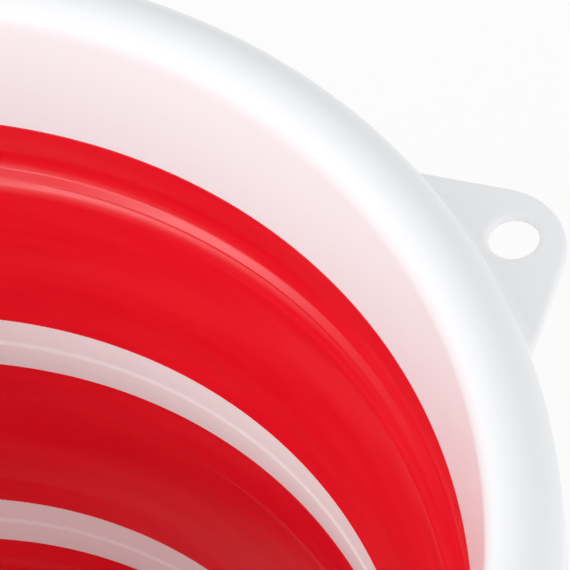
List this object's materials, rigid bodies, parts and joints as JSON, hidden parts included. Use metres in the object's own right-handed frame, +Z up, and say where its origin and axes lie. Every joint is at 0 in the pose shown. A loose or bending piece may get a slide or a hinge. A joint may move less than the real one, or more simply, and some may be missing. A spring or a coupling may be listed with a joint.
{
  "type": "collapsible bucket",
  "caption": "Round folding bucket with a stiff rounded rim and hanging tab, stiff hoops joined by soft folds, a moulded base and a swinging bail handle.",
  "frame": {"origin": "on the bucket's axis, at the floor that it stands on", "axes": "+Z up along the bucket's axis, +X towards the hanging tab, the bail pivots about Y"},
  "size_m": [0.3616, 0.3404, 0.214],
  "materials": {
    "white_plastic": "glossy moulded polypropylene",
    "ring_plastic": "satin moulded polypropylene",
    "soft_red": "smooth satin thermoplastic rubber"
  },
  "bodies": {
    "base": {"base_cup": "white_plastic", "foot_ring": "soft_red", "fold_lower": "soft_red"},
    "lower_ring": {"ring_lower": "ring_plastic", "fold_middle": "soft_red"},
    "upper_ring": {"ring_upper": "ring_plastic", "fold_upper": "soft_red"},
    "collar": {"rim_collar": "white_plastic", "rim_band": "soft_red", "pivot_pin_right": "white_plastic", "pivot_pin_left": "white_plastic"},
    "bail": {"bail": "white_plastic", "grip_sleeve": "soft_red"}
  },
  "joints": [
    {"name": "lower_fold", "type": "slide", "parent": "base", "child": "lower_ring", "axis": [0, 0, -1], "range_m": [0, 0.054]},
    {"name": "middle_fold", "type": "slide", "parent": "lower_ring", "child": "upper_ring", "axis": [0, 0, -1], "range_m": [0, 0.0515]},
    {"name": "upper_fold", "type": "slide", "parent": "upper_ring", "child": "collar", "axis": [0, 0, -1], "range_m": [0, 0.0435]},
    {"name": "bail_swing", "type": "hinge", "parent": "collar", "child": "bail", "pos_m": [0, 0, 0.188], "axis": [0, 1, 0], "range_deg": [0, 173]}
  ]
}
